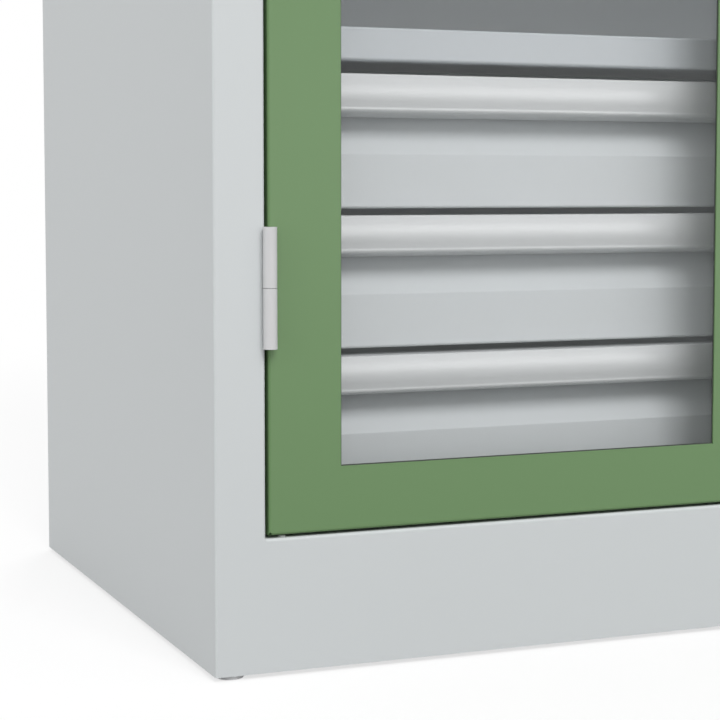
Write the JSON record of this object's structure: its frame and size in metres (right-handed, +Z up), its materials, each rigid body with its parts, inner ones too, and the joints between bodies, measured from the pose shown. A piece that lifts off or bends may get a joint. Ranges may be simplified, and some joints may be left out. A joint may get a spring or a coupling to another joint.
{
  "type": "storage cabinet",
  "caption": "Tall steel storage cabinet with windowed hinged doors over drawers and adjustable shelves, a rod lock and levelling feet.",
  "frame": {"origin": "on the floor, under the middle of the whole cabinet with its lock handle", "axes": "+Z up, -Y the way the doors face, +X to the right seen from the front"},
  "size_m": [0.93, 0.532, 1.95],
  "materials": {
    "carcass_grey": "satin powder coat",
    "door_green": "satin powder coat",
    "grip_grey": "satin powder coat",
    "hinge_grey": "satin powder coat",
    "clear_pane": "clear, polished",
    "bead_grey": "matt",
    "zinc_steel": "zinc plated",
    "foot_grey": "matt",
    "lock_black": "fine grained",
    "plug_nickel": "nickel plated"
  },
  "bodies": {
    "carcass": {"left_side_panel": "carcass_grey", "right_side_panel": "carcass_grey", "plinth": "carcass_grey", "header": "carcass_grey", "rear_panel": "carcass_grey", "top_panel": "carcass_grey", "base_panel": "carcass_grey", "foot_gussets": "carcass_grey", "foot_nuts": "zinc_steel", "left_shelf_posts": "carcass_grey", "right_shelf_posts": "carcass_grey", "shelf_clips": "zinc_steel", "left_drawer_carrier": "carcass_grey", "right_drawer_carrier": "carcass_grey", "left_fixed_runners": "zinc_steel", "right_fixed_runners": "zinc_steel", "left_frame_knuckles": "hinge_grey", "right_frame_knuckles": "hinge_grey", "left_hinge_pins": "zinc_steel", "right_hinge_pins": "zinc_steel", "door_rest_buttons": "foot_grey", "magnetic_catches": "foot_grey", "shelf_1": "carcass_grey", "shelf_2": "carcass_grey", "shelf_3": "carcass_grey", "shelf_4": "carcass_grey"},
    "left_door": {"left_door_leaf": "door_green", "left_window_pane": "clear_pane", "left_glazing_beads": "bead_grey", "left_bead_screws": "zinc_steel", "left_door_knuckles": "hinge_grey"},
    "right_door": {"right_door_leaf": "door_green", "right_window_pane": "clear_pane", "right_glazing_beads": "bead_grey", "right_bead_screws": "zinc_steel", "right_door_knuckles": "hinge_grey", "lock_escutcheon": "lock_black", "rod_guides": "zinc_steel"},
    "handle": {"lock_handle": "lock_black", "lock_cam": "zinc_steel"},
    "key_plug": {"lock_cylinder": "plug_nickel"},
    "upper_rod": {"upper_lock_rod": "zinc_steel"},
    "lower_rod": {"lower_lock_rod": "zinc_steel"},
    "drawer_1": {"drawer_1_box": "carcass_grey", "drawer_1_front": "carcass_grey", "drawer_1_grip": "grip_grey", "drawer_1_runners": "zinc_steel"},
    "drawer_2": {"drawer_2_box": "carcass_grey", "drawer_2_front": "carcass_grey", "drawer_2_grip": "grip_grey", "drawer_2_runners": "zinc_steel"},
    "drawer_3": {"drawer_3_box": "carcass_grey", "drawer_3_front": "carcass_grey", "drawer_3_grip": "grip_grey", "drawer_3_runners": "zinc_steel"},
    "front_left_leveller": {"front_left_foot": "foot_grey"},
    "front_right_leveller": {"front_right_foot": "foot_grey"},
    "rear_left_leveller": {"rear_left_foot": "foot_grey"},
    "rear_right_leveller": {"rear_right_foot": "foot_grey"}
  },
  "joints": [
    {"name": "left_door_swing", "type": "hinge", "parent": "carcass", "child": "left_door", "pos_m": [-0.427, -0.23875, 1], "axis": [0, 0, -1], "range_deg": [0, 175]},
    {"name": "right_door_swing", "type": "hinge", "parent": "carcass", "child": "right_door", "pos_m": [0.427, -0.23875, 1], "axis": [0, 0, 1], "range_deg": [0, 175]},
    {"name": "handle_turn", "type": "hinge", "parent": "right_door", "child": "handle", "pos_m": [0.0295, -0.234, 1.05], "axis": [0, -1, 0], "range_deg": [0, 90]},
    {"name": "key_turn", "type": "hinge", "parent": "handle", "child": "key_plug", "pos_m": [0.0295, -0.266, 1.05], "axis": [0, -1, 0], "range_deg": [0, 90]},
    {"name": "upper_rod_slide", "type": "slide", "parent": "right_door", "child": "upper_rod", "axis": [0, 0, 1], "range_m": [0, 0.017]},
    {"name": "lower_rod_slide", "type": "slide", "parent": "right_door", "child": "lower_rod", "axis": [0, 0, -1], "range_m": [0, 0.01697]},
    {"name": "drawer_1_slide", "type": "slide", "parent": "carcass", "child": "drawer_1", "axis": [0, -1, 0], "range_m": [0, 0.024]},
    {"name": "drawer_2_slide", "type": "slide", "parent": "carcass", "child": "drawer_2", "axis": [0, -1, 0], "range_m": [0, 0.024]},
    {"name": "drawer_3_slide", "type": "slide", "parent": "carcass", "child": "drawer_3", "axis": [0, -1, 0], "range_m": [0, 0.024]},
    {"name": "front_left_foot_turn", "type": "hinge", "parent": "carcass", "child": "front_left_leveller", "pos_m": [-0.4515, -0.222, 0], "axis": [0, 0, 1], "continuous": true},
    {"name": "front_right_foot_turn", "type": "hinge", "parent": "carcass", "child": "front_right_leveller", "pos_m": [0.4515, -0.222, 0], "axis": [0, 0, 1], "continuous": true},
    {"name": "rear_left_foot_turn", "type": "hinge", "parent": "carcass", "child": "rear_left_leveller", "pos_m": [-0.4515, 0.2525, 0], "axis": [0, 0, 1], "continuous": true},
    {"name": "rear_right_foot_turn", "type": "hinge", "parent": "carcass", "child": "rear_right_leveller", "pos_m": [0.4515, 0.2525, 0], "axis": [0, 0, 1], "continuous": true}
  ],
  "couplings": [
    {"joint": "handle_turn", "follows": "lower_rod_slide", "rad_per_m": 92.56},
    {"joint": "upper_rod_slide", "follows": "lower_rod_slide", "ratio": 1}
  ]
}
